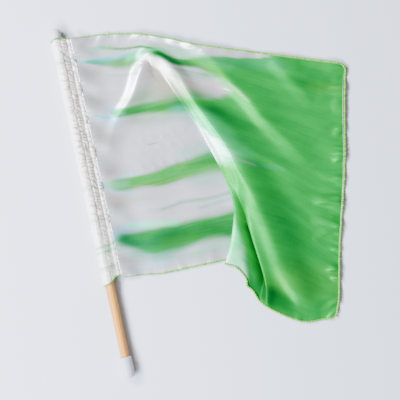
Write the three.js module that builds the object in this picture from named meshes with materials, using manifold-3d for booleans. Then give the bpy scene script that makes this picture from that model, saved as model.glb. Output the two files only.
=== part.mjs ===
// Silk flag on a wooden pole, lying on its side, in millimetres.
// The pole runs along Y with its foot cap at the low end, the cloth spreads towards +X, and +Z is up.

import * as THREE from 'three';
import { mergeVertices } from 'three/addons/utils/BufferGeometryUtils.js';
import Module from 'manifold-3d';

// Pole and its two vinyl caps. The foot cap is the thickest piece, so it sets the height of the axis.
const POLE_LENGTH = 378;
const DOWEL_RADIUS = 4.75;
const FIT_GAP = 0.3;
const FOOT_CAP = { radius: 6.5, length: 22, floor: 2, rounding: 2 };
const TOP_CAP = { radius: 5.5, length: 11.4, floor: 3, rounding: 3.4 };
const AXIS_HEIGHT = FOOT_CAP.radius;
const ROUND_SIDES = 28;

// Cloth. Its middle surface lies half a thickness above the ground where it rests.
const CLOTH_THICKNESS = 1;
const GROUND = CLOTH_THICKNESS / 2;
const SLEEVE = { top: 366, bottom: 101.5, radius: 6.2, seamX: 13.4, seamHeight: 1.3, sides: 20 };
const SEAM_START = 11.5;
const WEFT_SECTIONS = 40;

// Left panel between the sleeve's seam and the fold: the height of the top and bottom hem on upright lines.
const PANEL_LINES = [
  { x: SEAM_START, top: 365, bottom: 106, steps: 2 },
  { x: 20, top: 364.6, bottom: 104.4, steps: 2 },
  { x: 34, top: 363.4, bottom: 103.6, steps: 3 },
  { x: 56, top: 361.2, bottom: 100.6, steps: 4 },
];

// Fold lines, each at the same weft sections, as [x, y, height of the middle surface].
// The cloth runs right under the fold (foot, under), turns back left to the first edge, and goes right
// again over the upper face, down the hollow, up to the second lip, over the crest and down the flank.
const SECTION_SHARES = [0, 0.17, 0.33, 0.5, 0.67, 0.83, 0.92, 1];
const FOLD_LINES = [
  { name: 'foot', steps: 4, points: [[84, 355.3, 0.5], [88, 324, 2.6], [107, 277, 0.7], [122, 233.5, 0.5],
    [135, 189.5, 0.5], [133, 146.5, 0.5], [128, 124, 0.5], [118, 100.3, 0.5]] },
  { name: 'under', steps: 6, points: [[92, 352.7, 0.6], [95, 323, 5.6], [114, 275.5, 2.8], [133, 232, 2.5],
    [150.5, 187, 2.7], [152.5, 143, 2.6], [147, 119, 2.6], [141, 99.5, 2.6]] },
  { name: 'edge', steps: 3, points: [[100, 350, 0.8], [101, 321, 7.2], [118.5, 271, 6.2], [133, 225, 6.6],
    [145.4, 176, 6.6], [142.8, 138, 5.6], [134, 114, 5.2], [125, 96.5, 4.6]] },
  { name: 'upper', steps: 4, points: [[107, 347.3, 1], [104.5, 319, 7.8], [122, 269, 9], [137, 222.5, 10],
    [149, 173, 10], [147, 133, 7.4], [139, 107, 6.4], [132, 91.5, 5.2]] },
  { name: 'hollow', steps: 4, points: [[114, 344.5, 1.1], [108, 317, 7.8], [127, 267, 10.4], [143, 219, 11.8],
    [154, 170, 10.8], [159.5, 118.5, 2.6], [159, 75, 2], [147, 64, 1.6]] },
  { name: 'lip', steps: 4, points: [[122, 341, 1.2], [112, 315, 7.2], [132, 265, 10.2], [148, 217, 12],
    [160, 167.5, 10.8], [158.5, 112, 7.6], [162, 67, 6.6], [155.5, 43.5, 2]] },
  { name: 'crest', steps: 3, points: [[133, 335.5, 1.2], [119, 311.5, 4.6], [137.5, 262.5, 8.4], [154, 214, 10.4],
    [170, 163, 10], [176, 103, 9.2], [184, 57, 6.6], [178, 25, 1.8]] },
  { name: 'flank', steps: 12, points: [[150, 328.5, 0.9], [132, 306, 2.4], [150, 258, 3.6], [172, 206, 3.4],
    [187, 155.5, 3.2], [195, 94, 3], [204, 46, 2], [198, 17, 0.8]] },
  { name: 'fly', steps: 0, points: [[295, 277, 0.5], [284.5, 234, 0.5], [275.5, 190, 0.5],
    [264.5, 146, 0.5], [251.5, 101.5, 0.5], [241, 59, 0.5], [235.5, 35, 0.5], [228.5, 15.5, 0.5]] },
];
const FLY_SHARES = [0.35, 0.68];

// Soft ridges that stand on the two panels: a curve from start past middle to end, in plan, with its height
// at start and end and its half width.
const RIDGES = [
  { panel: 'left', start: [88, 333], middle: [72, 300], end: [40, 252], heights: [4.6, 0.8], width: 9 },
  { panel: 'right', start: [133, 336], middle: [168, 288], end: [228, 180], heights: [4.5, 0.5], width: 12 },
  { panel: 'right', start: [212, 303], middle: [228, 276], end: [247, 248], heights: [2.2, 0.4], width: 9 },
];
const SEAM_WAVES = { pitch: 32, phase: 15, height: 1.1, fade: 11 };

// Natural cubic spline through rows of numbers at the given knots, as a function of the parameter.
function spline(knots, rows) {
  const count = knots.length;
  const size = rows[0].length;
  const gap = knots.slice(1).map((knot, i) => knot - knots[i]);
  const upper = new Array(count).fill(0);
  const bend = rows.map(() => new Array(size).fill(0));
  for (let i = 1; i < count - 1; i++) {
    const pivot = 2 * (gap[i - 1] + gap[i]) - gap[i - 1] * upper[i - 1];
    upper[i] = gap[i] / pivot;
    for (let k = 0; k < size; k++) {
      const turn = (rows[i + 1][k] - rows[i][k]) / gap[i] - (rows[i][k] - rows[i - 1][k]) / gap[i - 1];
      bend[i][k] = (6 * turn - gap[i - 1] * bend[i - 1][k]) / pivot;
    }
  }
  for (let i = count - 2; i > 0; i--) {
    for (let k = 0; k < size; k++) bend[i][k] -= upper[i] * bend[i + 1][k];
  }
  return (at) => {
    let i = 0;
    while (i < count - 2 && at > knots[i + 1]) i++;
    const before = at - knots[i];
    const after = knots[i + 1] - at;
    return rows[i].map((value, k) =>
      (bend[i][k] * after ** 3 + bend[i + 1][k] * before ** 3) / (6 * gap[i])
      + (value / gap[i] - bend[i][k] * gap[i] / 6) * after
      + (rows[i + 1][k] / gap[i] - bend[i + 1][k] * gap[i] / 6) * before);
  };
}

const mix = (a, b, share) => a.map((value, k) => value + (b[k] - value) * share);

// The lines that the cloth's weft follows, from the seam to the fly, at one share of the hoist.
const foldSplines = FOLD_LINES.map((line) => spline(SECTION_SHARES, line.points));

function guidePoints(share) {
  const panel = PANEL_LINES.map((line) => ({
    point: [line.x, line.top + (line.bottom - line.top) * share, GROUND],
    steps: line.steps,
    panel: 'left',
  }));
  const folds = FOLD_LINES.map((line, i) => ({
    point: foldSplines[i](share),
    steps: line.steps,
    panel: { foot: 'left', flank: 'right', fly: 'right' }[line.name] ?? 'fold',
  }));
  const foot = folds[0].point;
  const between = { point: mix(panel.at(-1).point, foot, 0.5), steps: 4, panel: 'left' };
  between.point[2] = GROUND;
  const flank = folds.at(-2);
  const fly = folds.at(-1);
  const spread = FLY_SHARES.map((part) => {
    const point = mix(flank.point, fly.point, part);
    point[2] = GROUND + (flank.point[2] - GROUND) * (1 - part) ** 3;
    return { point, steps: flank.steps / 3, panel: 'right' };
  });
  const flankGuide = { ...flank, steps: flank.steps / 3 };
  return [...panel, between, ...folds.slice(0, -2), flankGuide, ...spread, fly];
}

// Height that a soft ridge adds at a point: a bell across the nearest place on its curve.
const RIDGE_SAMPLES = 24;

function ridgeHeight(ridge, x, y) {
  let nearest = Infinity;
  let along = 0;
  for (let i = 0; i <= RIDGE_SAMPLES; i++) {
    const s = i / RIDGE_SAMPLES;
    const weights = [(1 - s) ** 2, 2 * s * (1 - s), s ** 2];
    const places = [ridge.start, ridge.middle, ridge.end];
    const px = weights.reduce((sum, weight, k) => sum + weight * places[k][0], 0);
    const py = weights.reduce((sum, weight, k) => sum + weight * places[k][1], 0);
    const distance = Math.hypot(x - px, y - py);
    if (distance < nearest) [nearest, along] = [distance, s];
  }
  const height = ridge.heights[0] + (ridge.heights[1] - ridge.heights[0]) * along;
  return height * Math.exp(-((nearest / ridge.width) ** 2));
}

function panelHeight(panel, x, y) {
  const raised = RIDGES.filter((ridge) => ridge.panel === panel)
    .reduce((sum, ridge) => sum + ridgeHeight(ridge, x, y), 0);
  if (panel !== 'left') return raised;
  const wave = 0.5 + 0.5 * Math.cos((2 * Math.PI * (y - SEAM_WAVES.phase)) / SEAM_WAVES.pitch);
  const fade = Math.exp(-(((x - SEAM_START) / SEAM_WAVES.fade) ** 2) / 2);
  return raised + SEAM_WAVES.height * wave * fade;
}

// One weft section as points: a spline through its guides, with the panels' soft ridges added and its
// sharp turns rounded, twice, by taking each point half way to the middle of its neighbours.
function weftSection(share) {
  const guides = guidePoints(share);
  const knots = [0];
  for (let i = 1; i < guides.length; i++) {
    const [a, b] = [guides[i - 1].point, guides[i].point];
    knots.push(knots[i - 1] + Math.sqrt(Math.hypot(a[0] - b[0], a[1] - b[1], a[2] - b[2])));
  }
  const curve = spline(knots, guides.map((guide) => guide.point));
  const points = [];
  guides.forEach((guide, i) => {
    const last = i === guides.length - 1;
    const steps = last ? 1 : guide.steps;
    for (let k = 0; k < steps; k++) {
      const part = k / steps;
      const [x, y, z] = curve(last ? knots[i] : knots[i] + (knots[i + 1] - knots[i]) * part);
      const next = last ? guide.panel : guides[i + 1].panel;
      const left = (guide.panel === 'left' ? 1 - part : 0) + (next === 'left' ? part : 0);
      const right = (guide.panel === 'right' ? 1 - part : 0) + (next === 'right' ? part : 0);
      const raised = (left > 0 ? left * panelHeight('left', x, y) : 0)
        + (right > 0 ? right * panelHeight('right', x, y) : 0);
      points.push(new THREE.Vector3(x, y, Math.max(z, GROUND) + raised));
    }
  });
  const rounded = (line) => line.map((point, i) => {
    if (i === 0 || i === line.length - 1) return point;
    return line[i - 1].clone().add(line[i + 1]).multiplyScalar(0.5).lerp(point, 0.5);
  });
  return rounded(rounded(points));
}

// Closed shell between two grids of points, the upper one facing up and the lower one facing down.
function shellGeometry(upper, lower) {
  const rows = upper.length;
  const columns = upper[0].length;
  const points = [...upper.flat(), ...lower.flat()];
  const positions = new Float32Array(points.flatMap((point) => [point.x, point.y, point.z]));
  const faces = [];
  const at = (side, row, column) => side * rows * columns + row * columns + column;
  const quad = (a, b, c, d) => faces.push(a, b, c, a, c, d);
  for (let i = 0; i < rows - 1; i++) {
    for (let j = 0; j < columns - 1; j++) {
      quad(at(0, i, j), at(0, i + 1, j), at(0, i + 1, j + 1), at(0, i, j + 1));
      quad(at(1, i, j), at(1, i, j + 1), at(1, i + 1, j + 1), at(1, i + 1, j));
    }
  }
  for (let i = 0; i < rows - 1; i++) {
    quad(at(0, i + 1, 0), at(0, i, 0), at(1, i, 0), at(1, i + 1, 0));
    quad(at(0, i, columns - 1), at(0, i + 1, columns - 1), at(1, i + 1, columns - 1), at(1, i, columns - 1));
  }
  for (let j = 0; j < columns - 1; j++) {
    quad(at(0, 0, j), at(0, 0, j + 1), at(1, 0, j + 1), at(1, 0, j));
    quad(at(0, rows - 1, j + 1), at(0, rows - 1, j), at(1, rows - 1, j), at(1, rows - 1, j + 1));
  }
  const geometry = new THREE.BufferGeometry();
  geometry.setAttribute('position', new THREE.BufferAttribute(positions, 3));
  geometry.setIndex(faces);
  return geometry;
}

// The sheet: its middle surface thickened both ways along its normals, and flat where it touches the ground.
// Inside a tight fold the offset stays under half the way to the layer that faces it.
const INNER_SHARE = 0.34;
const FACING = -0.2;
const TURNING = 0.4;
const LAYER_REACH = 5;

function sheetGeometry() {
  const grid = [];
  for (let i = 0; i <= WEFT_SECTIONS; i++) grid.push(weftSection(i / WEFT_SECTIONS));
  const lastColumn = grid[0].length - 1;
  const between = (index, end) => Math.min(Math.max(index, 0), end);
  const normals = grid.map((row, i) => row.map((_, j) => {
    const along = row[between(j + 1, lastColumn)].clone().sub(row[between(j - 1, lastColumn)]);
    const down = grid[between(i + 1, WEFT_SECTIONS)][j].clone().sub(grid[between(i - 1, WEFT_SECTIONS)][j]);
    return down.cross(along).normalize();
  }));
  const reach = (i, j, side) => {
    const outward = normals[i][j].clone().multiplyScalar(side);
    const limits = grid[i].map((point, k) => {
      const way = point.clone().sub(grid[i][j]);
      const likeness = normals[i][k].dot(normals[i][j]);
      if (way.length() > LAYER_REACH || way.dot(outward) <= 0 || likeness > TURNING) return Infinity;
      return INNER_SHARE * (likeness < FACING ? way.dot(outward) : way.length());
    });
    return Math.min(CLOTH_THICKNESS / 2, ...limits);
  };
  const offset = (side) => grid.map((row, i) => row.map((point, j) => {
    const moved = point.clone().addScaledVector(normals[i][j], side * reach(i, j, side));
    moved.z = Math.max(moved.z, 0);
    return moved;
  }));
  return shellGeometry(offset(1), offset(-1));
}

// The sleeve: a drop-shaped tube round the dowel whose point is the sewn seam.
function dropSection(radius, tipX, tipHeight) {
  const reach = Math.hypot(tipX, tipHeight - AXIS_HEIGHT);
  const aim = Math.atan2(tipHeight - AXIS_HEIGHT, tipX);
  const open = Math.acos(radius / reach);
  const points = [[tipX, tipHeight]];
  for (let i = 0; i < SLEEVE.sides; i++) {
    const angle = aim + open + ((2 * Math.PI - 2 * open) * i) / (SLEEVE.sides - 1);
    points.push([radius * Math.cos(angle), AXIS_HEIGHT + radius * Math.sin(angle)]);
  }
  return points;
}

function sleeveGeometry() {
  const outline = new THREE.Shape(
    dropSection(SLEEVE.radius, SLEEVE.seamX, SLEEVE.seamHeight).map(([x, z]) => new THREE.Vector2(x, z)));
  const inside = dropSection(DOWEL_RADIUS + FIT_GAP, SLEEVE.seamX - 4, SLEEVE.seamHeight + 0.9);
  outline.holes.push(new THREE.Path(inside.map(([x, z]) => new THREE.Vector2(x, z))));
  const length = SLEEVE.top - SLEEVE.bottom;
  const geometry = new THREE.ExtrudeGeometry(outline, { depth: length, steps: 1, bevelEnabled: false });
  geometry.rotateX(Math.PI / 2);
  geometry.translate(0, SLEEVE.top, 0);
  return geometry;
}

// A cap turned about the pole's axis: a cup with a rounded rim at its closed end.
function capGeometry(cap) {
  const bore = DOWEL_RADIUS + FIT_GAP;
  const profile = [new THREE.Vector2(0, 0)];
  const arcSteps = 4;
  for (let i = 0; i <= arcSteps; i++) {
    const angle = -Math.PI / 2 + (Math.PI / 2) * (i / arcSteps);
    profile.push(new THREE.Vector2(
      cap.radius - cap.rounding + cap.rounding * Math.cos(angle), cap.rounding + cap.rounding * Math.sin(angle)));
  }
  profile.push(new THREE.Vector2(cap.radius, cap.length), new THREE.Vector2(bore, cap.length));
  profile.push(new THREE.Vector2(bore, cap.floor), new THREE.Vector2(0, cap.floor));
  return new THREE.LatheGeometry(profile, ROUND_SIDES);
}

// Joining with manifold solids needs bare positions with shared vertices.
function bareGeometry(geometry) {
  const bare = geometry.index ? geometry.clone() : geometry;
  bare.deleteAttribute('normal');
  bare.deleteAttribute('uv');
  return mergeVertices(bare, 1e-4);
}

const wasm = await Module();
wasm.setup();

function solidOf(geometry) {
  const bare = bareGeometry(geometry);
  return new wasm.Manifold(new wasm.Mesh({
    numProp: 3,
    vertProperties: new Float32Array(bare.attributes.position.array),
    triVerts: new Uint32Array(bare.index.array),
  }));
}

function geometryOf(solid) {
  const mesh = solid.getMesh();
  const geometry = new THREE.BufferGeometry();
  geometry.setAttribute('position', new THREE.BufferAttribute(new Float32Array(mesh.vertProperties), 3));
  geometry.setIndex(new THREE.BufferAttribute(new Uint32Array(mesh.triVerts), 1));
  geometry.computeVertexNormals();
  return geometry;
}

const silk = new THREE.MeshStandardMaterial({ color: 0x6fc27a, roughness: 0.55, metalness: 0 });
const wood = new THREE.MeshStandardMaterial({ color: 0xd9b48a, roughness: 0.6, metalness: 0 });
const vinyl = new THREE.MeshStandardMaterial({ color: 0xe2e2e8, roughness: 0.45, metalness: 0 });

function addMesh(parent, name, geometry, material) {
  const mesh = new THREE.Mesh(geometry, material);
  mesh.name = name;
  parent.add(mesh);
  return mesh;
}

// The pole's pieces share a group on the axis. The top cap is the foot cap's form turned end for end.
const pole = new THREE.Group();
pole.position.z = AXIS_HEIGHT;
const dowelLength = POLE_LENGTH - FOOT_CAP.floor - TOP_CAP.floor - 2 * FIT_GAP;
const dowel = addMesh(pole, 'dowel',
  new THREE.CylinderGeometry(DOWEL_RADIUS, DOWEL_RADIUS, dowelLength, ROUND_SIDES), wood);
dowel.position.y = FOOT_CAP.floor + FIT_GAP + dowelLength / 2;
addMesh(pole, 'cap_foot', capGeometry(FOOT_CAP), vinyl);
const capTop = addMesh(pole, 'cap_top', capGeometry(TOP_CAP), vinyl);
capTop.position.y = POLE_LENGTH;
capTop.rotation.x = Math.PI;

// The origin is under the middle of the whole flag.
const flag = new THREE.Group();
flag.add(pole);
addMesh(flag, 'flag_cloth', geometryOf(solidOf(sheetGeometry()).add(solidOf(sleeveGeometry()))), silk);
const group = new THREE.Group();
group.add(flag);
flag.updateMatrixWorld(true);
const box = new THREE.Box3().setFromObject(flag, true);
flag.position.set(-(box.min.x + box.max.x) / 2, -(box.min.y + box.max.y) / 2, -box.min.z);

export default group;
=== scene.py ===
"""Silk hand flag on a wooden pole, lying on a pale surface with its fly turned over in one long fold."""

import math

import bpy
import numpy as np
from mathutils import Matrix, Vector


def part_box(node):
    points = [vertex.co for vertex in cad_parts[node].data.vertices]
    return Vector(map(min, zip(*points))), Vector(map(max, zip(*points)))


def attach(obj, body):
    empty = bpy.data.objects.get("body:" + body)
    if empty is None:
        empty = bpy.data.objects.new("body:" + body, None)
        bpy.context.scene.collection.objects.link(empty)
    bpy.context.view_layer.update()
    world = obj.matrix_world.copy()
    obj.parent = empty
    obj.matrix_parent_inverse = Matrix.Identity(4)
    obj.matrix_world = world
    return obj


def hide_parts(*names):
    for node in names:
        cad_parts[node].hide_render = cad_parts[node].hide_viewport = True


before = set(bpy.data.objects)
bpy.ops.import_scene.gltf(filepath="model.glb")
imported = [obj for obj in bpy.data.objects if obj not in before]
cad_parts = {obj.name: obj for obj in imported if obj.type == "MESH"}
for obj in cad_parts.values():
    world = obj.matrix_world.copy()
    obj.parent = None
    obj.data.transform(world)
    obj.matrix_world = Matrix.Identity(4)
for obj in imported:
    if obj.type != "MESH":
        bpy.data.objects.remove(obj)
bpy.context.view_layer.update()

# The photograph's place. The camera hangs straight above the flag, turned so that the pole leans to the
# left. Sizes below are millimetres from the pole's foot end: x from its axis towards the fly, y up the
# pole and z from the surface.
MM = 0.001
foot_low, foot_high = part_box("cap_foot")
POLE_X = (foot_low.x + foot_high.x) / 2
POLE_FOOT_Y = foot_low.y
AXIS_HEIGHT = (foot_low.z + foot_high.z) / 2 / MM
POLE_LENGTH = (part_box("cap_top")[1].y - foot_low.y) / MM
PIXEL = 1.066
PICTURE_PIXELS = 400
VIEW_CENTRE = (112.9, 168.2)
POLE_LEAN = math.radians(12.175)
CAMERA_HEIGHT = 1500
SENSOR_WIDTH = 36


def in_frame(points):
    """Points in millimetres from the pole's foot end, moved to the frame's origin and given in metres."""
    return np.asarray(points, float) * MM + np.array([POLE_X, POLE_FOOT_Y, 0])


camera_data = bpy.data.cameras.new("camera")
camera_data.sensor_width = SENSOR_WIDTH
camera_data.lens = SENSOR_WIDTH * CAMERA_HEIGHT / (PIXEL * PICTURE_PIXELS)
camera = bpy.data.objects.new("camera", camera_data)
camera.location = Vector(in_frame([*VIEW_CENTRE, CAMERA_HEIGHT]))
camera.rotation_euler = (0, 0, -POLE_LEAN)
bpy.context.scene.collection.objects.link(camera)
bpy.context.scene.camera = camera


# Soft studio light: long cool box lights on the left, a weaker one at the foot and a faint warm fill on
# the right.
def linear(code):
    """A hex sRGB colour as linear red, green, blue and alpha."""
    parts = [int(code[i:i + 2], 16) / 255 for i in (1, 3, 5)]
    return (*[p / 12.92 if p <= 0.04045 else ((p + 0.055) / 1.055) ** 2.4 for p in parts], 1.0)


def box_light(name, aim, distance, size, watts, colour):
    """An area light at a distance in metres along a way given in the picture: right, up, to the eye."""
    right = np.array([math.cos(POLE_LEAN), -math.sin(POLE_LEAN), 0])
    up = np.array([math.sin(POLE_LEAN), math.cos(POLE_LEAN), 0])
    way = aim[0] * right + aim[1] * up + aim[2] * np.array([0, 0, 1])
    way = way / np.linalg.norm(way)
    data = bpy.data.lights.new(name, "AREA")
    data.shape, (data.size, data.size_y) = "RECTANGLE", size
    data.energy, data.color = watts, linear(colour)[:3]
    light = bpy.data.objects.new(name, data)
    light.location = Vector(in_frame([*VIEW_CENTRE, 0]) + way * distance)
    light.rotation_mode = "QUATERNION"
    light.rotation_quaternion = Vector(way).to_track_quat("Z", "Y")
    bpy.context.scene.collection.objects.link(light)


box_light("key_light", (-0.853, -0.522, 0.88), 1.5, (1.45, 0.33), 100, "#dfeaff")
box_light("second_light", (-0.868, 0.497, 0.88), 1.5, (0.7, 0.33), 60, "#e6efff")
box_light("low_light", (-0.3, -0.95, 0.88), 1.5, (0.8, 0.33), 9, "#e6efff")
box_light("fill_light", (0.8, 0.42, 0.42), 1.7, (1.0, 1.0), 3, "#fff3e2")
world = bpy.data.worlds.new("studio")
bpy.context.scene.world = world
world.use_nodes = True
world.node_tree.nodes["Background"].inputs["Color"].default_value = linear("#fff8ea")
world.node_tree.nodes["Background"].inputs["Strength"].default_value = 0.31


# The pale tabletop, which isn't part of the flag: a wide sheet of matt card, whose fibres give it a faint
# grain of about a millimetre and no shine.
def add_node(tree, kind, settings=None, links=None):
    """Adds a node, sets its options and inputs, and links named inputs from other nodes' outputs."""
    node = tree.nodes.new(kind)
    for key, value in (settings or {}).items():
        if key in node.inputs:
            node.inputs[key].default_value = value
        else:
            setattr(node, key, value)
    for key, source in (links or {}).items():
        tree.links.new(source, node.inputs[key])
    return node


def new_material(name):
    """An empty node material and its tree, with only the output node left."""
    material = bpy.data.materials.new(name)
    material.use_nodes = True
    tree = material.node_tree
    tree.nodes.clear()
    return material, tree, tree.nodes.new("ShaderNodeOutputMaterial")


def new_piece(name, points, faces, material, smooth=True):
    """A mesh piece from points in millimetres and faces, with its material, at the frame's origin."""
    mesh = bpy.data.meshes.new(name)
    mesh.from_pydata(in_frame(points).tolist(), [], faces)
    mesh.polygons.foreach_set("use_smooth", [smooth] * len(mesh.polygons))
    mesh.materials.append(material)
    piece = bpy.data.objects.new(name, mesh)
    bpy.context.scene.collection.objects.link(piece)
    return piece


CARD_GRAIN = 1.111
FLOOR_HALF = 3000
FLOOR_GAP = 0.05  # the card lies this far under the flag, so that no two faces are in one plane
card, tree, output = new_material("matt_card")
grain = add_node(tree, "ShaderNodeTexNoise", {"Scale": 1 / (CARD_GRAIN * MM), "Detail": 3.0},
                 {"Vector": add_node(tree, "ShaderNodeTexCoord").outputs["Object"]})
card_bump = add_node(tree, "ShaderNodeBump", {"Strength": 0.05, "Distance": 0.0002},
                     {"Height": grain.outputs["Fac"]})
card_shader = add_node(tree, "ShaderNodeBsdfPrincipled",
                       {"Base Color": linear("#cfd1d6"), "Roughness": 0.85},
                       {"Normal": card_bump.outputs["Normal"]})
tree.links.new(card_shader.outputs[0], output.inputs[0])
floor_corners = [[VIEW_CENTRE[0] + sx * FLOOR_HALF, VIEW_CENTRE[1] + sy * FLOOR_HALF, -FLOOR_GAP]
                 for sx, sy in ((-1, -1), (1, -1), (1, 1), (-1, 1))]
floor = new_piece("floor", floor_corners, [[0, 1, 2, 3]], card)


# The silk panel from the sleeve's seam to the fly: plain-woven habotai, hand dyed, cut 279 mm down the
# hoist. It lies flat by the pole. Its fly half is turned down and pushed back, so the cloth runs right
# under itself, turns back left to a first edge, and comes over again in a second, higher fold.
FLY_LENGTH = 293
HOIST = 279
SILK_THICKNESS = 0.3
GROUND = SILK_THICKNESS / 2 + FLOOR_GAP
SEAM_X = 14.2

SECTION_SHARES = np.array([0, 0.17, 0.33, 0.5, 0.585, 0.67, 0.83, 0.92, 1])
PANEL_LINES = {  # x: top hem y, bottom hem y, millimetres of cloth to the next line
    SEAM_X: (364.9, 106.0), 20: (364.6, 104.4), 34: (363.4, 103.6), 56: (361.2, 100.6),
}
FOLD_LINES = {  # x, y and z where each fold line crosses the weft sections, top hem to bottom hem
    "foot": [[84, 355.3, 0.2], [90, 323.5, 0.3], [112, 275.8, 0.3], [125, 233.2, 0.2], [131, 212, 0.2],
             [135, 189.5, 0.2], [133, 146.5, 0.2], [128, 124, 0.2], [118, 100.3, 0.2]],
    "under": [[92, 352.7, 0.4], [97, 321, 0.4], [116, 274.6, 0.5], [133, 231.5, 0.9],
              [142.5, 209.8, 1.2], [150.5, 187, 1.4], [152.5, 143, 1.4], [147, 119, 1.2],
              [141, 99.5, 1.0]],
    "edge": [[100, 350, 0.5], [103, 318.5, 0.5], [118.3, 272.5, 3.4], [132.4, 226, 4.4],
             [139.8, 200.5, 4.2], [145.4, 176, 3.8], [142.8, 138, 3.8], [134, 114, 3.0],
             [125, 96.5, 1.8]],
    "upper": [[107, 347.3, 0.6], [107.5, 316.5, 0.7], [121.5, 270, 5.4], [138, 222.5, 6.6],
              [144.2, 198.2, 5.9], [148.4, 174.5, 5.0], [147.4, 133, 6.2], [140.5, 107, 5.6],
              [134, 91.5, 4.0]],
    "hollow": [[114, 344.5, 0.6], [111.5, 314.5, 0.8], [125.5, 268, 7.4], [144, 219.5, 8.8],
               [149, 196, 7.8], [152.4, 173, 6.4], [161, 118, 1.0], [163, 75, 0.8], [149.5, 57, 0.6]],
    "lip": [[122, 341, 0.6], [115.5, 312.5, 0.9], [129.5, 266, 9.2], [149.5, 217, 10.9], [154, 194, 9.8],
            [156.5, 171.2, 8.0], [158.5, 112, 6.0], [162, 67, 5.0], [156, 45, 2.8]],
    "crest": [[133, 335.5, 0.6], [120, 310.5, 1.0], [133, 264.5, 10.2], [154.5, 214.5, 12.4],
              [163.5, 190, 12.8], [170, 164.5, 12.4], [181, 103, 8.2], [190, 57, 5.4], [181, 25, 1.2]],
    "flank": [[150, 328.5, 0.6], [136, 304, 0.8], [153, 256.5, 3.2], [180, 202, 3.6], [192.5, 175, 3.8],
              [200, 149.5, 3.8], [205, 92, 3.0], [207, 46, 2.0], [199, 17, 0.5]],
    "fly": [[295, 277, 0.2], [284.5, 234, 0.2], [275.5, 190, 0.2], [264.5, 146, 0.2], [258, 123.9, 0.2],
            [251.5, 101.5, 0.2], [241, 59, 0.2], [235.5, 35, 0.2], [228.5, 15.5, 0.2]],
}
FLY_SHARES = (0.35, 0.68)


def spline(knots, values, piece, share):
    """Natural cubic splines, one a row: the curve through values at knots whose second derivative is the
    solution of the usual tridiagonal system and nought at both ends, read at a share of each piece."""
    gap = np.diff(knots, axis=1)[..., None]
    rows, count = knots.shape
    system = np.zeros((rows, count, count))
    system[:, 0, 0] = system[:, -1, -1] = 1
    inner = np.arange(1, count - 1)
    system[:, inner, inner - 1] = gap[:, :-1, 0]
    system[:, inner, inner] = 2 * (gap[:, :-1, 0] + gap[:, 1:, 0])
    system[:, inner, inner + 1] = gap[:, 1:, 0]
    slope = np.diff(values, axis=1) / gap
    turn = np.zeros_like(values)
    turn[:, 1:-1] = 6 * np.diff(slope, axis=1)
    bend = np.linalg.solve(system, turn)
    width = gap[:, piece]
    before, after = share[:, None] * width, (1 - share)[:, None] * width
    start, end = values[:, piece], values[:, piece + 1]
    return ((bend[:, piece] * after ** 3 + bend[:, piece + 1] * before ** 3) / (6 * width)
            + (start / width - bend[:, piece] * width / 6) * after
            + (end / width - bend[:, piece + 1] * width / 6) * before)


def smooth_noise(x, y, seed, waves=7):
    """Soft uneven waves from about -1 to 1: a sum of sines over the root of their number, with directions,
    lengths and starts drawn once from a seed, for places in units of the typical wave length."""
    draw = np.random.default_rng(seed)
    total = np.zeros(np.broadcast(x, y).shape)
    for _ in range(waves):
        angle, length = draw.uniform(0, 2 * np.pi), draw.uniform(0.7, 1.5)
        start = draw.uniform(0, 2 * np.pi)
        total += np.sin(2 * np.pi * (x * np.cos(angle) + y * np.sin(angle)) / length + start)
    return total / math.sqrt(waves)


def bell(distance, width):
    """A soft hump: e to the minus the square of the distance over the width."""
    return np.exp(-(distance / width) ** 2)


def soft_ridge(x, y, path, left_width, right_width):
    """A ridge along a curve, the spline through the path's points (x, y, height). From the height at the
    nearest place of the curve it falls off evenly over the width of that side, left or right of the way.
    Its top is rounded, and so is its foot, as half of a number plus the root of its square and a bit."""
    path = np.array(path, float)
    count = len(path)
    knots = np.concatenate([[0], np.cumsum(np.linalg.norm(np.diff(path[:, :2], axis=0), axis=1))])
    piece = np.append(np.repeat(np.arange(count - 1), 10), count - 2)
    within = np.append(np.tile(np.arange(10) / 10, count - 1), 1.0)
    curve = spline(knots[None], path[None], piece, within)[0]
    way = np.gradient(curve, axis=0)
    step = np.hypot(way[:, 0], way[:, 1])
    nearest = np.hypot(x[..., None] - curve[:, 0], y[..., None] - curve[:, 1]).argmin(-1)
    from_x, from_y = x - curve[nearest, 0], y - curve[nearest, 1]
    reach = step[nearest]
    along = (from_x * way[nearest, 0] + from_y * way[nearest, 1]) / reach
    across = (from_y * way[nearest, 0] - from_x * way[nearest, 1]) / reach
    height = curve[nearest, 2] + way[nearest, 2] * np.clip(along / reach, -1, 1)
    distance = np.hypot(across, np.maximum(np.abs(along) - reach, 0))
    width = np.where(across > 0, left_width, right_width)
    left_of_height = 1 - (np.hypot(distance, RIDGE_ROUNDING) - RIDGE_ROUNDING) / width
    return height * (left_of_height + np.hypot(left_of_height, FOOT_ROUNDING)) / 2


RIDGE_ROUNDING, FOOT_ROUNDING = 1.3, 0.25
ROWS = 184
PIECE_STEPS = (5, 9, 13, 20, 22, 13, 13, 8, 20, 12, 14, 13, 26, 26, 26)


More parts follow.
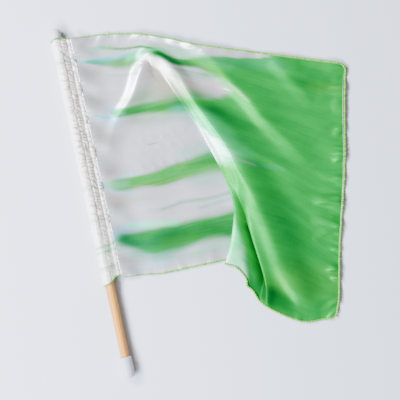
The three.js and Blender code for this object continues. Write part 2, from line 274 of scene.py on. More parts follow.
def silk_middle():
    """The panel's middle surface, without its ridges. Guide lines run down the hoist as splines through
    their points at the weft sections; each weft row is a spline through its guides, with knots a root of
    their distance apart. Returns the points and the cloth coordinates a, the way along the weft from the
    seam, and b, the way down from the top hem."""
    share = np.linspace(0, 1, ROWS)
    section = np.searchsorted(SECTION_SHARES, share, side="right") - 1
    section = np.clip(section, 0, len(SECTION_SHARES) - 2)
    part = (share - SECTION_SHARES[section]) / np.diff(SECTION_SHARES)[section]
    lines = np.array(list(FOLD_LINES.values()), float)
    folds = spline(np.tile(SECTION_SHARES, (len(lines), 1)), lines, section, part)
    guides = [np.stack([np.full(ROWS, float(x)), top + (bottom - top) * share, np.full(ROWS, GROUND)], 1)
              for x, (top, bottom) in PANEL_LINES.items()]
    between = (guides[-1] + folds[0]) / 2
    between[:, 2] = GROUND
    guides += [between, *folds[:-1]]
    for fly_share in FLY_SHARES:
        point = folds[-2] * (1 - fly_share) + folds[-1] * fly_share
        point[:, 2] = GROUND + (folds[-2][:, 2] - GROUND) * (1 - fly_share) ** 3
        guides.append(point)
    guides = np.stack([*guides, folds[-1]], 1)
    knots = np.cumsum(np.sqrt(np.linalg.norm(np.diff(guides, axis=1), axis=2)), 1)
    knots = np.concatenate([np.zeros((ROWS, 1)), knots], 1)
    piece = np.repeat(np.arange(len(PIECE_STEPS)), PIECE_STEPS)
    within = np.concatenate([np.arange(n) / n for n in PIECE_STEPS])
    piece, within = np.append(piece, len(PIECE_STEPS) - 1), np.append(within, 1.0)
    points = spline(knots, guides, piece, within)
    points[..., 2] = np.maximum(points[..., 2], GROUND)
    step = np.linalg.norm(np.diff(points, axis=1), axis=2)
    along = np.concatenate([np.zeros((ROWS, 1)), np.cumsum(step, 1)], 1)
    a = along / along[:, -1:] * FLY_LENGTH
    b = np.broadcast_to((share * HOIST)[:, None], a.shape)
    return points, a, b


RIDGES = [  # x, y and height at points along each ridge, and its widths left and right of the way
    ([(27, 238, 0.6), (33, 251, 2.0), (41, 264, 3.2), (51, 275, 4.0), (61, 284.5, 4.4), (69.5, 296, 4.7),
      (75, 306, 4.9), (79, 313, 5.0), (83.5, 318, 4.2), (88.5, 320.5, 2.6), (94, 321, 0.6)], 9, 14),
    ([(80, 323, 0.6), (85.5, 328, 3.2), (91, 330.5, 5.0), (97.5, 329.5, 5.9), (104, 325.5, 6.1),
      (109.8, 319, 6.1), (115.2, 310, 5.6), (119.8, 301, 4.6), (124, 291.5, 3.2), (128.5, 281, 1.6),
      (132, 272, 0.5)], 8, 12),
    ([(66, 356.5, 0.6), (80, 357, 1.6), (100, 351, 2.3), (120, 342.5, 2.5), (138, 333, 2.8),
      (147, 326, 2.6), (155, 314, 0.8)], 4, 6),
    ([(137, 333, 0.6), (144, 327.5, 2.6), (152, 319, 4.0), (164, 301, 5.0), (175, 281, 5.4),
      (187.5, 261, 5.4), (197, 241, 5.2), (210.5, 220.5, 4.6), (223, 201, 3.4),
      (234, 183, 0.8)], 24, 12),
    ([(215, 305, 1.6), (224, 291, 2.8), (235, 274, 3.4), (245, 257, 2.6), (253, 243, 0.4)], 18, 10),
    ([(203, 32, 0.2), (199.5, 42, 0.7), (192.5, 60, 1.4), (185.5, 80, 2.6), (181, 100, 3.8),
      (178, 120, 4.4), (175, 140, 4.0), (171, 160, 3.0), (166, 178, 1.0)], 11, 20),
    ([(166, 110, -0.4), (169, 85, -1.2), (175, 62, -2.4), (183, 45, -2.6), (190, 34, -1.2)], 9, 9),
    ([(157.5, 125, 0.3), (160.5, 100, 0.9), (162.5, 75, 1.2), (163, 64, 1.5), (162, 54, 2.3),
      (160, 48, 2.0), (157, 43, 0.3)], 6, 6),
    ([(15, 361, 0.6), (30, 357, 0.9), (48, 350, 0.5)], 4, 4),
    ([(271, 233, 0.2), (279, 236, 2.2), (286, 238, 1.2)], 5, 3.5),
    ([(266, 206, 0.2), (274, 208.5, 2.2), (280, 210, 1.2)], 5, 3.5),
    ([(257, 177, 0.2), (266, 180, 2.2), (273, 181.5, 1.2)], 5, 3.5),
    ([(230, 140, 0.2), (243, 139.5, 2.4), (255, 138, 1.7)], 6, 4),
    ([(224, 122, 0.2), (238, 119.5, 2.5), (250, 114, 1.5)], 6, 4),
    ([(222, 103, 0.2), (234, 106, 2.0), (246, 108, 1.0)], 5, 4),
]
SEAM_FOLDS = (84, 118, 150, 186, 224, 262, 295, 325, 358)  # y of each fold at the seam
SEAM_FOLD_HEIGHT, SEAM_LIFT, SEAM_FOLD_REACH, SEAM_SLANT = 4.8, 2.4, 13, 0.3
SWELL_HEIGHT, SWELL_PLACE, SWELL_REACH = 1.2, 17, 8
RIPPLE_HEIGHT, RIPPLE_PITCH, RIPPLE_REACH = 0.8, 5.1, 3
FLY_PUCKER_HEIGHT, FLY_PUCKER_PITCH, FLY_PUCKER_SLANT = 2.5, 9.6, 0.45
FLY_PUCKER_PLACE, FLY_PUCKER_REACH = 4, 9
CRUMPLE_HEIGHT, CRUMPLE_LENGTH, CRUMPLE_SLANT = 1.8, 21, 0.3
CRUMPLE_PLACE, CRUMPLE_REACH = 13, 18
TOP_PUCKER_HEIGHT, FOOT_PUCKER_HEIGHT = 0.8, 0.7
FOOT_ROLL_HEIGHT, FOOT_ROLL_PLACE, FOOT_ROLL_MIDDLE = 1.6, 8, 120
WAVINESS, CREASE_HEIGHT = 0.6, 0.22
NOTCH_DEPTH, NOTCH_A, NOTCH_Y = 3.4, 178, 68.5
NOTCH_UP, NOTCH_ALONG, NOTCH_HALF = 8, 30, 4.5


def all_ridges(x, y):
    """The named ridges together. Where they meet, their heights join as the sixth root of the sum of
    their sixth powers, so that the higher one leads; the troughs are then taken away."""
    heaped, dug = np.zeros_like(x), np.zeros_like(x)
    for path, left_width, right_width in RIDGES:
        ridge = soft_ridge(x, y, path, left_width, right_width)
        heaped += np.maximum(ridge, 0) ** 6
        dug += np.minimum(ridge, 0)
    return heaped ** (1 / 6) + dug


def seam_folds(x, y):
    """What the tight seam does to the panel: folds at the named places, a cosine between them under a
    bell, slanting down from the pole; low swells between them further in; and small ripples right at the
    seam, a sine with soft noise that fades as e to the minus the way over its reach."""
    way = x - SEAM_X
    place = np.interp(y + SEAM_SLANT * way, SEAM_FOLDS, range(len(SEAM_FOLDS)))
    wave = 0.5 + 0.5 * np.cos(2 * np.pi * place)
    folds = (SEAM_LIFT + SEAM_FOLD_HEIGHT * wave) * bell(way - 2, SEAM_FOLD_REACH)
    swells = SWELL_HEIGHT * (1 - wave) * bell(way - SWELL_PLACE, SWELL_REACH)
    ripples = 1 + np.sin(2 * np.pi * y / RIPPLE_PITCH + 2 * smooth_noise(y / 25, 0 * y, 4))
    return folds + swells + RIPPLE_HEIGHT * ripples * np.exp(-np.abs(way) / RIPPLE_REACH)


def hem_puckers(a, b):
    """What the hems' stitching does: along the fly, slanting puckers as a sine with soft noise under a
    bell, and broader crumples further in; along the top and foot hems, noise that fades from the hem; and
    a long low roll along the foot hem, its way over its place times e to one minus the same."""
    from_fly, from_foot = FLY_LENGTH - a, HOIST - b
    turn = 2 * np.pi * (b - FLY_PUCKER_SLANT * from_fly) / FLY_PUCKER_PITCH
    pucker = 0.5 + 0.5 * np.sin(turn + 2.4 * smooth_noise(b / 36, 0 * b, 11))
    pucker *= np.clip(0.7 + 0.5 * smooth_noise(b / 23, 0 * b, 16), 0.1, 1.3)
    total = FLY_PUCKER_HEIGHT * pucker * bell(from_fly - FLY_PUCKER_PLACE, FLY_PUCKER_REACH)
    crumple = smooth_noise((b - CRUMPLE_SLANT * from_fly) / CRUMPLE_LENGTH, from_fly / 70, 15)
    total += CRUMPLE_HEIGHT * np.maximum(crumple, -0.5) * bell(from_fly - CRUMPLE_PLACE, CRUMPLE_REACH)
    top = smooth_noise((a + 0.7 * b) / 17, b / 40, 12)
    total += TOP_PUCKER_HEIGHT * np.maximum(top, -0.2) * np.exp(-b / 12)
    foot = smooth_noise(a / 14, b / 50, 13)
    total += FOOT_PUCKER_HEIGHT * np.maximum(foot, -0.2) * np.exp(-from_foot / 7)
    share = from_foot / FOOT_ROLL_PLACE
    near_pole = bell(np.minimum(a - FOOT_ROLL_MIDDLE, 0), 100)
    past_fold = bell(np.maximum(a - FOOT_ROLL_MIDDLE, 0), 22)
    return total + FOOT_ROLL_HEIGHT * share * np.exp(1 - share) * near_pole * past_fold


def small_waves(x, y):
    """The cloth's slight waviness, as broad noise, and a few creases on the undyed panel, the square of
    the upper half of fine slanting noise under two bells."""
    creases = np.maximum(smooth_noise((x + 0.8 * y) / 15, (x - y) / 7, 17), 0) ** 2
    creases *= bell(x - 88, 34) * bell(y - 228, 24)
    return WAVINESS * (1 + smooth_noise(x / 52, y / 66, 14)) + CREASE_HEIGHT * creases


points, cloth_a, cloth_b = silk_middle()
x, y = points[..., 0], points[..., 1]
raised = all_ridges(x, y) + seam_folds(x, y) + hem_puckers(cloth_a, cloth_b) + small_waves(x, y)
points[..., 2] = np.maximum(points[..., 2] + raised, GROUND)
notch = np.exp(-(HOIST - cloth_b) / NOTCH_UP) * bell(cloth_a - NOTCH_A, NOTCH_ALONG)
points[..., 0] -= NOTCH_DEPTH * notch * bell(y - NOTCH_Y, NOTCH_HALF)


def rounded_corner(points, from_a, from_b, radius, a_way, b_way):
    """Rounds a corner of the cloth: a square of the corner's size is drawn in to a quarter disc, by the
    square-to-disc rule that scales each point by its larger side over its distance."""
    in_a, in_b = radius - from_a, radius - from_b
    inside = (in_a > 0) & (in_b > 0)
    scale = np.maximum(in_a, in_b) / np.maximum(np.hypot(in_a, in_b), 1e-9)
    shift_a = np.where(inside, in_a * (scale - 1), 0)[..., None]
    shift_b = np.where(inside, in_b * (scale - 1), 0)[..., None]
    return points + shift_a * np.array(a_way) + shift_b * np.array(b_way)


TOP_CORNER, FOOT_CORNER = 8, 6
from_fly, from_foot = FLY_LENGTH - cloth_a, HOIST - cloth_b
points = rounded_corner(points, from_fly, cloth_b, TOP_CORNER, (0.94, -0.33, 0), (0.24, 0.97, 0))
points = rounded_corner(points, from_fly, from_foot, FOOT_CORNER, (0.97, -0.05, 0), (-0.3, -0.95, 0))

# The dye, brushed and dipped on from the fly: fingers of leaf green reach towards the pole between
# undyed stripes. The blue part of the dye runs ahead of the yellow, so tips are cyan and lower edges
# teal. Some strokes are painted light: a faint warm tan is painted shade in the hollows by the seam and
# inside the arch, the darkest greens are painted shade in the hollow under the second fold and in the dip
# by the foot hem, deep green along two grooves is dye deepened by painted shade, and two mint strokes
# are painted highlights on crests.
DYES_AND_PAINTED_LIGHT = {
    "undyed": "#cecbcc", "blush": "#d6bdb8", "leaf": "#0c8530", "deep": "#065d22", "vivid": "#017a20",
    "olive": "#438a26", "mint": "#33de86", "pale": "#62bd7e", "teal": "#1f9d7e", "cyan": "#5fc2dc",
    "smoke": "#8fa89a", "painted_warm_shade": "#b3a993", "bottle": "#0c6436", "painted_hollow_shade": "#00400a",
}
GREEN_FRONT = [  # how far down the hoist, where the all-over green starts, and how soft its edge is
    (0, 214, 8), (6, 206, 10), (10, 184, 12), (15, 164, 10), (24, 148, 8), (40, 150, 7), (47, 152, 6),
    (60, 155, 6), (68, 158, 6), (74, 152, 8), (80, 138, 11), (85, 116, 10), (90, 108, 8), (102, 108, 8),
    (109, 114, 8), (115, 126, 7), (122, 135, 7), (132, 147, 9), (141, 155, 13), (147, 155, 17),
    (152, 149, 19), (157, 141, 17), (168, 132, 10), (185, 136, 8), (205, 144, 8), (223, 149, 9),
    (232, 152, 9), (241, 161, 10), (252, 167, 10), (264, 171, 10), (279, 176, 10),
]
STROKES = [  # dye, strength, half width at start and end, edge softness, points as (a, b)
    ("pale", 0.4, 5, 7, 0.9, [(78, 24), (104, 18), (128, 14)]),
    ("pale", 0.65, 6, 8, 0.9, [(86, 27), (122, 24), (150, 28)]),
    ("teal", 0.7, 1.4, 1.6, 0.8, [(22, 14), (32, 13.5)]),
    ("olive", 0.8, 1.4, 2.6, 0.7, [(30, 15), (46, 18), (62, 22), (80, 25), (90, 29)]),
    ("leaf", 0.5, 1.2, 2.4, 0.8, [(44, 18), (62, 21), (84, 25)]),
    # Partly painted shade: deep green along the groove under the top hem.
    ("deep", 0.6, 1.2, 2.0, 0.8, [(66, 23), (84, 27), (94, 31)]),
    ("pale", 0.5, 3, 2, 0.9, [(20, 17), (42, 15)]),
    ("cyan", 0.85, 1.4, 3.0, 0.8, [(4, 28), (20, 27), (44, 26), (56, 29), (72, 35)]),
    ("leaf", 0.9, 2.0, 6.4, 0.7, [(14, 29), (28, 31), (44, 33), (58, 37)]),
    ("teal", 0.6, 1.4, 3.2, 0.9, [(8, 29), (34, 29)]),
    ("olive", 0.55, 3, 5, 0.9, [(42, 37), (60, 40)]),
    # Painted highlight: mint where a crest by the arch catches the light.
    ("mint", 0.75, 4, 5, 0.8, [(60, 34), (74, 33), (88, 31)]),
    ("leaf", 0.95, 5, 11, 0.6, [(90, 34), (106, 38), (130, 36), (150, 38)]),
    ("leaf", 0.85, 5, 8, 0.8, [(134, 29), (150, 25), (166, 22)]),
    # Partly painted shade: deep green beside the main arm's crest, on its shaded far side.
    ("deep", 0.85, 3, 6, 0.8, [(92, 33), (106, 39), (122, 38)]),
    ("olive", 0.45, 6, 6, 0.8, [(134, 34), (152, 44)]),
    ("leaf", 0.55, 4, 5, 0.8, [(108, 51), (130, 54), (152, 51)]),
    ("deep", 0.4, 1.2, 2, 0.9, [(112, 49), (140, 51)]),
    ("pale", 0.45, 1.4, 1.8, 0.9, [(28, 46), (48, 48), (64, 54)]),
    ("cyan", 0.55, 2.5, 4, 0.8, [(10, 94), (26, 95), (38, 91)]),
    ("teal", 0.6, 1.0, 1.6, 0.8, [(8, 91), (20, 95), (34, 95)]),
    ("cyan", 0.45, 4, 5, 0.9, [(30, 86), (27, 104)]),
    ("olive", 0.6, 6, 9, 0.9, [(50, 79), (74, 78), (100, 82)]),
    ("leaf", 0.97, 4.5, 11, 0.45, [(34, 91), (56, 91), (84, 93), (112, 94)]),
    ("leaf", 0.85, 9, 19, 0.7, [(98, 92), (112, 84), (124, 86)]),
    ("leaf", 0.8, 4, 7, 0.9, [(104, 60), (109, 72), (117, 84)]),
    ("deep", 0.65, 1.8, 3, 0.9, [(44, 92), (76, 95), (112, 97)]),
    ("olive", 0.5, 5, 8, 0.9, [(50, 101), (82, 104)]),
    ("teal", 0.5, 6, 8, 0.9, [(98, 102), (114, 112)]),
    ("leaf", 0.6, 0.8, 0.8, 0.7, [(60, 132), (69, 133.5)]),
    ("mint", 0.5, 9, 13, 0.95, [(130, 102), (144, 122), (158, 142)]),
    ("cyan", 0.7, 2.0, 3, 0.8, [(2, 171), (12, 176), (28, 182)]),
    ("cyan", 0.5, 2.0, 3, 0.9, [(14, 168), (24, 163), (36, 161)]),
    ("olive", 0.95, 7, 14, 0.4, [(22, 173), (60, 173), (132, 171)]),
    ("leaf", 0.8, 4, 9, 0.8, [(16, 171), (60, 170), (96, 171), (140, 169)]),
    ("pale", 0.6, 4, 5, 0.8, [(8, 171), (20, 173)]),
    ("deep", 0.4, 3, 7, 0.9, [(100, 168), (132, 168)]),
    ("teal", 0.45, 6, 8, 0.9, [(98, 152), (126, 155)]),
    ("teal", 0.4, 6, 7, 0.9, [(104, 187), (134, 190)]),
    ("pale", 0.4, 1.5, 1.5, 0.9, [(46, 207), (58, 208)]),
    ("leaf", 0.6, 1.6, 2.6, 0.8, [(60, 207), (80, 206), (104, 209), (140, 208)]),
    ("teal", 0.5, 1.4, 2.2, 0.8, [(100, 217), (124, 216), (140, 215)]),
    ("cyan", 0.6, 5, 6, 0.9, [(6, 232), (16, 225), (30, 222)]),
    ("teal", 0.6, 9, 12, 0.8, [(4, 238), (26, 246), (52, 252)]),
    ("smoke", 0.6, 9, 12, 0.8, [(50, 262), (132, 261)]),
    ("teal", 0.5, 6, 6, 0.9, [(22, 256), (50, 260)]),
    ("pale", 0.45, 3, 5, 0.9, [(84, 266), (124, 264)]),
    ("leaf", 0.95, 5, 13, 0.6, [(12, 235), (24, 238), (42, 241)]),
    ("leaf", 1.0, 14, 16, 0.35, [(42, 241), (80, 242), (142, 242)]),
    ("bottle", 0.85, 7, 12, 0.9, [(14, 238), (34, 242), (66, 242)]),
    ("mint", 0.7, 3, 4, 0.9, [(22, 222), (48, 221), (68, 226)]),
    ("olive", 0.5, 4, 5, 0.9, [(56, 246), (84, 246)]),
    ("deep", 0.75, 10, 13, 0.9, [(60, 242), (100, 243), (142, 244)]),
    ("cyan", 0.4, 3, 3, 0.9, [(16, 270), (52, 268)]),
    ("blush", 0.5, 7, 7, 0.9, [(126, 66), (150, 64)]),
    ("blush", 0.12, 2.4, 2.0, 0.95, [(156, 49), (172, 60), (184, 69)]),
    ("deep", 0.8, 7, 12, 0.8, [(146, 92), (165, 97), (176, 100)]),
    ("deep", 0.45, 8, 9, 0.95, [(176, 106), (194, 114)]),
    ("deep", 0.5, 6, 10, 0.9, [(176, 122), (216, 132)]),
    ("deep", 0.4, 8, 9, 0.9, [(244, 30), (268, 26)]),
    ("teal", 0.14, 8, 8, 0.9, [(166, 24), (190, 20), (216, 14)]),
    ("blush", 0.15, 2.0, 1.4, 0.95, [(152, 144), (162, 150), (174, 152.5), (186, 153)]),
    ("cyan", 0.04, 2.4, 2.4, 0.95, [(184, 153), (204, 149), (220, 143)]),
    ("leaf", 0.9, 4, 9, 0.9, [(156, 200), (162, 214), (168, 232), (178, 250)]),
    ("vivid", 0.95, 4, 8, 0.9, [(168, 208), (172, 222), (177, 236), (184, 252)]),
    # Painted shade: the very dark green below darkens the hollow under the second fold.
    ("painted_hollow_shade", 0.97, 5, 11, 0.8, [(178, 230), (186, 244), (196, 256), (206, 268)]),
    ("deep", 0.8, 5, 7, 0.9, [(172, 264), (184, 274), (198, 276)]),
    # Painted highlight: mint along the first fold's lit edge.
    ("mint", 0.85, 2, 7, 0.9, [(150, 222), (153, 240), (156, 258), (159, 272)]),
    ("olive", 0.35, 9, 14, 0.9, [(232, 252), (288, 244)]),
    ("deep", 0.45, 12, 22, 0.95, [(206, 196), (236, 216), (262, 238)]),
    # Painted shade: deep green in the round dip by the foot hem, whose surface faces away from the light.
    ("deep", 0.6, 6, 8, 0.95, [(216, 266), (228, 270), (242, 272)]),
    ("olive", 0.3, 5, 5, 0.9, [(262, 34), (284, 30)]),
    # Painted shade: very dark green in the round dip by the foot hem.
    ("painted_hollow_shade", 0.35, 6, 7, 0.95, [(222, 266), (232, 269)]),
    # Painted shade: the tan strokes below lay the warm shade inside the arch and in the hollows by the
    # seam.
    ("painted_warm_shade", 0.95, 6, 11, 0.95, [(81, 48), (86, 60), (92, 74)]),
    ("painted_warm_shade", 0.45, 6, 4, 0.95, [(2, 43), (20, 44)]),
    ("painted_warm_shade", 0.45, 6, 4, 0.95, [(2, 75), (20, 77)]),
    ("painted_warm_shade", 0.45, 8, 6, 0.95, [(2, 117), (24, 120)]),
    ("painted_warm_shade", 0.45, 8, 6, 0.95, [(2, 160), (24, 156)]),
    ("painted_warm_shade", 0.45, 8, 6, 0.95, [(6, 194), (44, 190)]),
]


def dye_and_painted_light_colours(a, b):
    """The silk's linear colours, dye and painted light: the green front's edge wanders with soft noise,
    then each stroke lays its colour over what is there, by its strength inside its half width, fading
    across its edge; a few strokes are painted shade and painted highlights. The deeper dyes take a little
    unevenly, by the same kind of noise."""
    wander_a = a + 3.0 * smooth_noise(a / 40, b / 14, 21) + 2.5 * smooth_noise(a / 60, b / 3.5, 24)
    wander_b = b + 1.0 * smooth_noise(a / 45, b / 26, 22) + 0.35 * smooth_noise(a / 30, b / 7, 23)
    streaks = 1 + 0.04 * smooth_noise(a / 110, b / 2.6, 25) + 0.03 * smooth_noise(a / 30, b / 1.3, 26)
    front = np.array(GREEN_FRONT, float)
    start = np.interp(wander_b, front[:, 0], front[:, 1])
    soft = np.interp(wander_b, front[:, 0], front[:, 2])
    laid = 1 / (1 + np.exp(-4 * (wander_a - start) / soft))
    mix = laid[..., None]
    colours = np.array(linear(DYES_AND_PAINTED_LIGHT["undyed"])[:3]) * (1 - mix) + np.array(linear(DYES_AND_PAINTED_LIGHT["leaf"])[:3]) * mix
    for dye, strength, start_half, end_half, softness, path in STROKES:
        path = np.array(path, float)
        lengths = np.concatenate([[0], np.cumsum(np.linalg.norm(np.diff(path, axis=0), axis=1))])
        best = np.full(a.shape, np.inf)
        for (p, q), (s, e) in zip(zip(path[:-1], path[1:]), zip(lengths[:-1], lengths[1:])):
            way = q - p
            t = np.clip(((a - p[0]) * way[0] + (wander_b - p[1]) * way[1]) / (way @ way), 0, 1)
            half = start_half + (end_half - start_half) * (s + t * (e - s)) / lengths[-1]
            distance = np.hypot((a - p[0] - t * way[0]) * 0.6, wander_b - p[1] - t * way[1]) / half
            best = np.minimum(best, distance)
        cover = np.clip((1 + softness - best) / (2 * softness), 0, 1)
        cover = (np.clip(strength * streaks, 0, 1) * cover * cover * (3 - 2 * cover))[..., None]
        colours = colours * (1 - cover) + np.array(linear(DYES_AND_PAINTED_LIGHT[dye])[:3]) * cover
    uneven = 0.085 * smooth_noise(a / 60, b / 16, 27) + 0.04 * smooth_noise(a / 24, b / 5, 28)
    return colours * (1 + uneven[..., None] * (1 - colours[..., :1]))


def grid_faces(rows, columns, closed=False):
    """Quads between the points of a grid of rows, the last column joined to the first if closed."""
    i, j = np.meshgrid(np.arange(rows - 1), np.arange(columns - (0 if closed else 1)), indexing="ij")
    k = (j + 1) % columns
    corners = [i * columns + j, (i + 1) * columns + j, (i + 1) * columns + k, i * columns + k]
    return np.stack(corners, -1).reshape(-1, 4).tolist()


def paint(piece, name, colours):
    """Writes a colour for each point of a piece, which its material reads by name."""
    attribute = piece.data.color_attributes.new(name, "FLOAT_COLOR", "POINT")
    with_alpha = np.concatenate([colours, np.ones((*colours.shape[:-1], 1))], -1)
    attribute.data.foreach_set("color", with_alpha.astype(np.float32).ravel())


def cloth_map(piece, a, b):
    """A UV map in metres of cloth, a across and b down, so that the weave follows the threads."""
    layer = piece.data.uv_layers.new(name="cloth")
    loops = np.empty(len(piece.data.loops), np.int32)
    piece.data.loops.foreach_get("vertex_index", loops)
    corners = np.stack([a.ravel(), b.ravel()], 1)[loops] * MM
    layer.data.foreach_set("uv", corners.astype(np.float32).ravel())


# Habotai silk, plain woven and degummed: smooth, with a soft pearly gloss on the ridges. The real threads
# are 0.1 mm apart, too fine to show, so the weave is drawn at 0.7 mm with slubs along both threads.
THREAD_PITCH = 0.7
SLUB_LENGTH = 16.667
CREASE_LENGTH, CREASE_WIDTH = 6.667, 3.846
GREEN_GLOSS_SHARE = 0.42


def habotai(name, gloss, crease):
    """Dyed silk: its colour is read from the points, its weave follows the cloth's own map. Gloss is the
    part of the light that the smooth threads throw back in their own colour, less where the dye is deep;
    crease is how crumpled it looks."""
    material, tree, output = new_material(name)
    cloth_uv = add_node(tree, "ShaderNodeUVMap", {"uv_map": "cloth"})
    dye = add_node(tree, "ShaderNodeAttribute", {"attribute_name": "dye"})
    threads = add_node(tree, "ShaderNodeMath", {"operation": "ADD"})
    along, across = 1 / (SLUB_LENGTH * MM), 1 / (THREAD_PITCH * MM)
    for socket, scale in enumerate(((along, across, 1), (across, along, 1))):
        place = add_node(tree, "ShaderNodeMapping", {"Scale": scale}, {"Vector": cloth_uv.outputs["UV"]})
        slubs = add_node(tree, "ShaderNodeTexNoise", {"Scale": 1.0, "Detail": 2.0},
                         {"Vector": place.outputs["Vector"]})
        tree.links.new(slubs.outputs["Fac"], threads.inputs[socket])
    crease_scale = (1 / (CREASE_LENGTH * MM), 1 / (CREASE_WIDTH * MM), 1)
    crease_place = add_node(tree, "ShaderNodeMapping", {"Scale": crease_scale, "Rotation": (0, 0, 0.5)},
                            {"Vector": cloth_uv.outputs["UV"]})
    creases = add_node(tree, "ShaderNodeTexNoise", {"Scale": 1.0, "Detail": 4.0, "Distortion": 0.6},
                       {"Vector": crease_place.outputs["Vector"]})
    thread_bump = add_node(tree, "ShaderNodeBump", {"Strength": 0.10, "Distance": 0.0002},
                           {"Height": threads.outputs[0]})
    bump = add_node(tree, "ShaderNodeBump", {"Strength": crease, "Distance": 0.0006},
                    {"Height": creases.outputs["Fac"], "Normal": thread_bump.outputs["Normal"]})
    mottle = add_node(tree, "ShaderNodeMapRange",
                      {"From Min": 0.7, "From Max": 1.3, "To Min": 0.95, "To Max": 1.04},
                      {"Value": threads.outputs[0]})
    colour = add_node(tree, "ShaderNodeVectorMath", {"operation": "SCALE"},
                      {"Scale": mottle.outputs["Result"]})
    tree.links.new(dye.outputs["Color"], colour.inputs[0])
    red = add_node(tree, "ShaderNodeSeparateColor", links={"Color": dye.outputs["Color"]})
    dulled = add_node(tree, "ShaderNodeMapRange",
                      {"From Min": 0.02, "From Max": 0.55, "To Min": GREEN_GLOSS_SHARE * gloss,
                       "To Max": gloss},
                      {"Value": red.outputs["Red"]})
    shader = add_node(tree, "ShaderNodeBsdfPrincipled",
                      {"Roughness": 0.32, "Specular IOR Level": 0.6, "Sheen Weight": 0.2,
                       "Sheen Roughness": 0.35},
                      {"Base Color": colour.outputs[0], "Specular Tint": colour.outputs[0],
                       "Sheen Tint": colour.outputs[0], "Metallic": dulled.outputs["Result"],
                       "Normal": bump.outputs["Normal"]})
    tree.links.new(shader.outputs[0], output.inputs[0])
    return material


silk = habotai("dyed_habotai_silk", 0.5, 0.18)
panel = new_piece("silk_panel", points.reshape(-1, 3), grid_faces(*cloth_a.shape), silk)
paint(panel, "dye", dye_and_painted_light_colours(cloth_a, cloth_b))
cloth_map(panel, cloth_a, cloth_b)
body = panel.modifiers.new("thickness", "SOLIDIFY")
body.thickness, body.offset = SILK_THICKNESS * MM, 0
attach(panel, "root")
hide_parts("flag_cloth")

# The sleeve: the hoist edge of the same silk, turned round the pole and sewn down on itself. The sewing
# is drawn tight, so the silk stands in small gathers over the pole. Their valleys are tinted tan, which is
# painted shade warmed by the pole's colour showing through where the silk lies close. Its free side is a
# narrow rolled seam.
SLEEVE_OUTLINE = np.array([  # x and z, from the seam over the pole and back along the surface
    [14.9, 0.9], [14.8, 3.6], [13.0, 5.6], [10.4, 6.3], [8.4, 7.4], [6.3, 8.9], [4.2, 10.4], [2.2, 11.6],
    [-0.5, 12.3], [-3.5, 11.0], [-5.7, 8.6], [-6.3, 6.0], [-5.0, 2.4], [-1.5, 0.5], [4, 0.35], [10, 0.35],
    [14, 0.4],
])
UPPER_OUTLINE_POINTS = 11
SLEEVE_END_X = (-6.5, -4, 0, 4, 8, 12, 15)  # where the two ends' heights up the pole are given
SLEEVE_TOP = (363.5, 365.5, 366.4, 366, 365.4, 365, 364.9)
SLEEVE_BOTTOM = (100, 101, 102.3, 104.5, 108, 109, 107)
SLEEVE_ROWS, SLEEVE_STEPS = 540, 4
LIVELY_Y, LIVELINESS = (96, 120, 150, 175), (0.7, 0.4, 0.45, 1.0)  # gathers are slack near the foot
GATHER_ROWS = [  # x where the row of gathers starts and ends, its pitch, slant, depth and seed
    (-3.4, 4.0, 5.6, 0.22, 1.0, 31), (4.3, 9.7, 4.3, 0.34, 1.05, 35), (10.3, 15.5, 4.9, 0.3, 1.15, 39),
]


def sleeve_surface():
    """The sleeve: its outline, a spline through the outline's points, carried along the pole between its
    ends and pushed out along its own normal by the gathers. Each row of gathers lies between two rows of
    sewing; its folds are broad, with narrow valleys where the sine of the way along the pole, shifted by
    soft noise, passes nought. Returns the points, how deep each lies in a valley, and how far round the
    outline each column lies."""
    count = len(SLEEVE_OUTLINE)
    knots = np.concatenate([[0], np.cumsum(np.linalg.norm(np.diff(SLEEVE_OUTLINE, axis=0), axis=1))])
    piece = np.repeat(np.arange(count - 1), SLEEVE_STEPS)
    within = np.tile(np.arange(SLEEVE_STEPS) / SLEEVE_STEPS, count - 1)
    piece, within = np.append(piece, count - 2), np.append(within, 1.0)
    ring = spline(knots[None], SLEEVE_OUTLINE[None], piece, within)[0]
    tangent = np.gradient(ring, axis=0)
    normal = np.stack([tangent[:, 1], -tangent[:, 0]], 1)
    normal /= np.linalg.norm(normal, axis=1, keepdims=True)
    share = np.linspace(0, 1, SLEEVE_ROWS)[:, None]
    top = np.interp(ring[:, 0], SLEEVE_END_X, SLEEVE_TOP)
    bottom = np.interp(ring[:, 0], SLEEVE_END_X, SLEEVE_BOTTOM)
    y = top + (bottom - top) * share
    x, z = np.broadcast_to(ring[:, 0], y.shape), np.broadcast_to(ring[:, 1], y.shape)
    upper_side = (np.arange(len(ring)) < UPPER_OUTLINE_POINTS * SLEEVE_STEPS) * 1.0
    lively = np.interp(y, LIVELY_Y, LIVELINESS)
    wave, valley = np.zeros_like(y), np.zeros_like(y)
    for start, end, pitch, slant, depth, seed in GATHER_ROWS:
        inside = np.clip(np.minimum(x - start, end - x) / 1.1, 0, 1) * upper_side
        drift = 0.5 * smooth_noise(y / 24, 0 * y + x / 40, seed)
        drift += 0.12 * smooth_noise(y / 5, x / 6, seed + 1)
        fold = np.abs(np.sin(np.pi * ((y + slant * (x - start)) / pitch + drift)))
        strength = np.clip(0.8 + 0.35 * smooth_noise(y / 8, x / 20, seed + 2), 0.3, 1.1) * lively
        low = np.exp(-(fold / 0.55) ** 2)
        wave += inside * strength * depth * (1 - low)
        valley += inside * strength * low
    wave += 0.2 * smooth_noise(y / 9, x / 9, 41) * upper_side
    points = np.stack([x + normal[:, 0] * wave, y, z + normal[:, 1] * wave], -1)
    points[..., 2] = np.maximum(points[..., 2], GROUND)
    return points, valley, knots[piece] + within * np.diff(knots, append=knots[-1])[piece]


